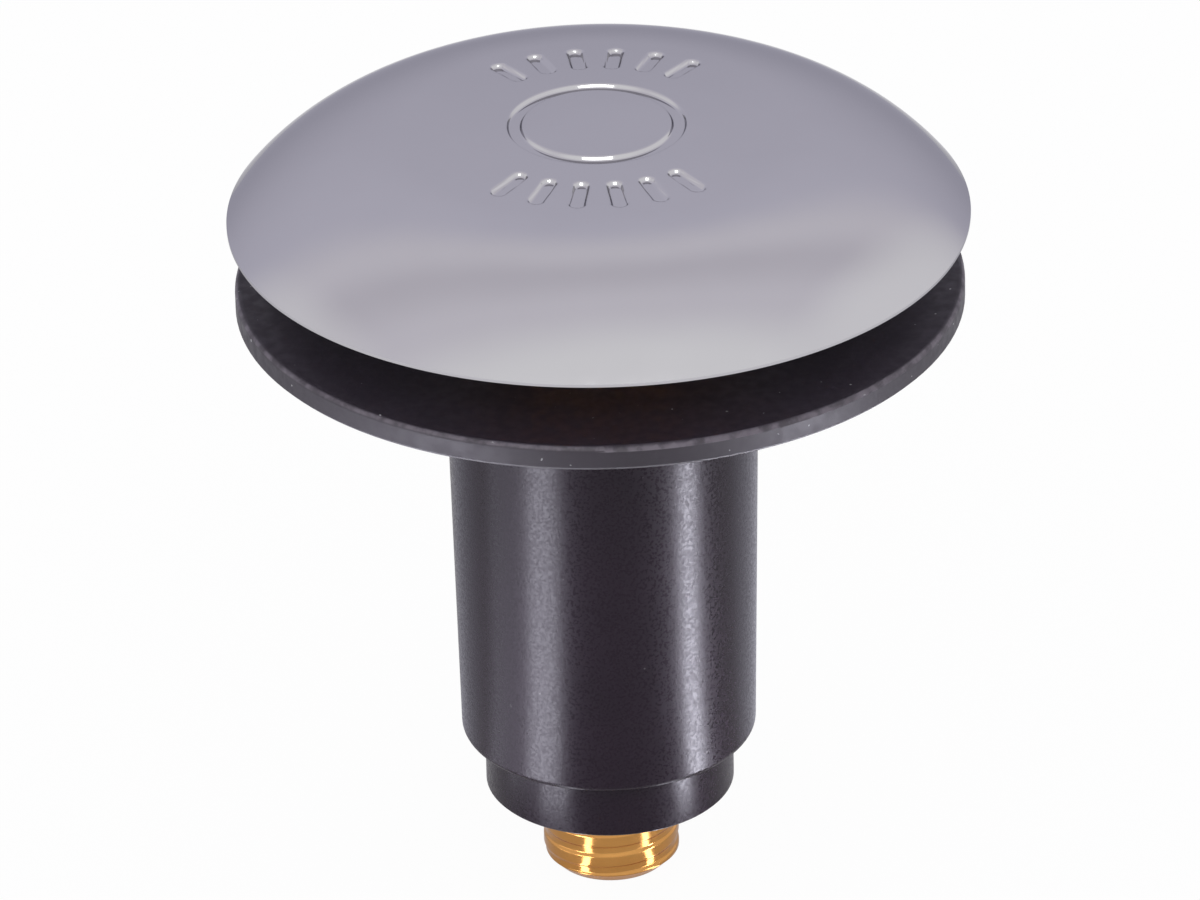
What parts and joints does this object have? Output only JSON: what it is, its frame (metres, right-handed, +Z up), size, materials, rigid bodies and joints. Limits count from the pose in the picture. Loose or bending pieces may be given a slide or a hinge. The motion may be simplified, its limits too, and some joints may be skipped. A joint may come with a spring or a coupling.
{
  "type": "bathtub drain stopper",
  "caption": "Toe-touch tub drain stopper: domed chrome cap and rubber seal on a black sleeve that slides on a sprung post with a threaded brass stud.",
  "frame": {"origin": "centre of the foot's underside, where the stud's thread starts and the foot seats on the drain's crossbar", "axes": "+Z up along the stopper's axis towards the cap; the picture looks along +Y from above, with +X to its right"},
  "size_m": [0.0508, 0.0508, 0.0575],
  "materials": {
    "chrome": "polished chrome plate",
    "rubber": "matt moulded rubber",
    "black_plastic": "satin moulded acetal",
    "brass": "turned brass",
    "steel": "bright stainless steel",
    "nylon": "natural nylon"
  },
  "bodies": {
    "post": {"post": "black_plastic", "mounting_stud": "brass", "spring": "steel"},
    "head": {"sleeve": "black_plastic", "neck_bush": "brass", "seal": "rubber", "seal_washer": "steel", "seal_nut": "brass", "guide_bush": "nylon", "snap_ring": "steel"},
    "follower": {"follower_ring": "nylon", "follower_pins": "steel"},
    "cap_carrier": {"cap_washer": "nylon"},
    "cap": {"cap": "chrome", "cap_stud": "brass"}
  },
  "joints": [
    {"name": "press_slide", "type": "slide", "parent": "post", "child": "head", "axis": [0, 0, 1], "range_m": [-0.001, 0.011], "deforming": ["spring"]},
    {"name": "follower_turn", "type": "hinge", "parent": "head", "child": "follower", "pos_m": [0, 0, 0.01914], "axis": [0, 0, 1], "range_deg": [-5.46, 60]},
    {"name": "cap_lift", "type": "slide", "parent": "head", "child": "cap_carrier", "axis": [0, 0, 1], "range_m": [0, 0.008]},
    {"name": "cap_turn", "type": "hinge", "parent": "cap_carrier", "child": "cap", "pos_m": [0, 0, 0.044], "axis": [0, 0, 1], "range_deg": [0, 2040]}
  ],
  "couplings": [
    {"joint": "follower_turn", "follows": "press_slide", "rad_per_m": 95.199},
    {"joint": "cap_lift", "follows": "cap_turn", "m_per_rad": 0.00022459}
  ]
}
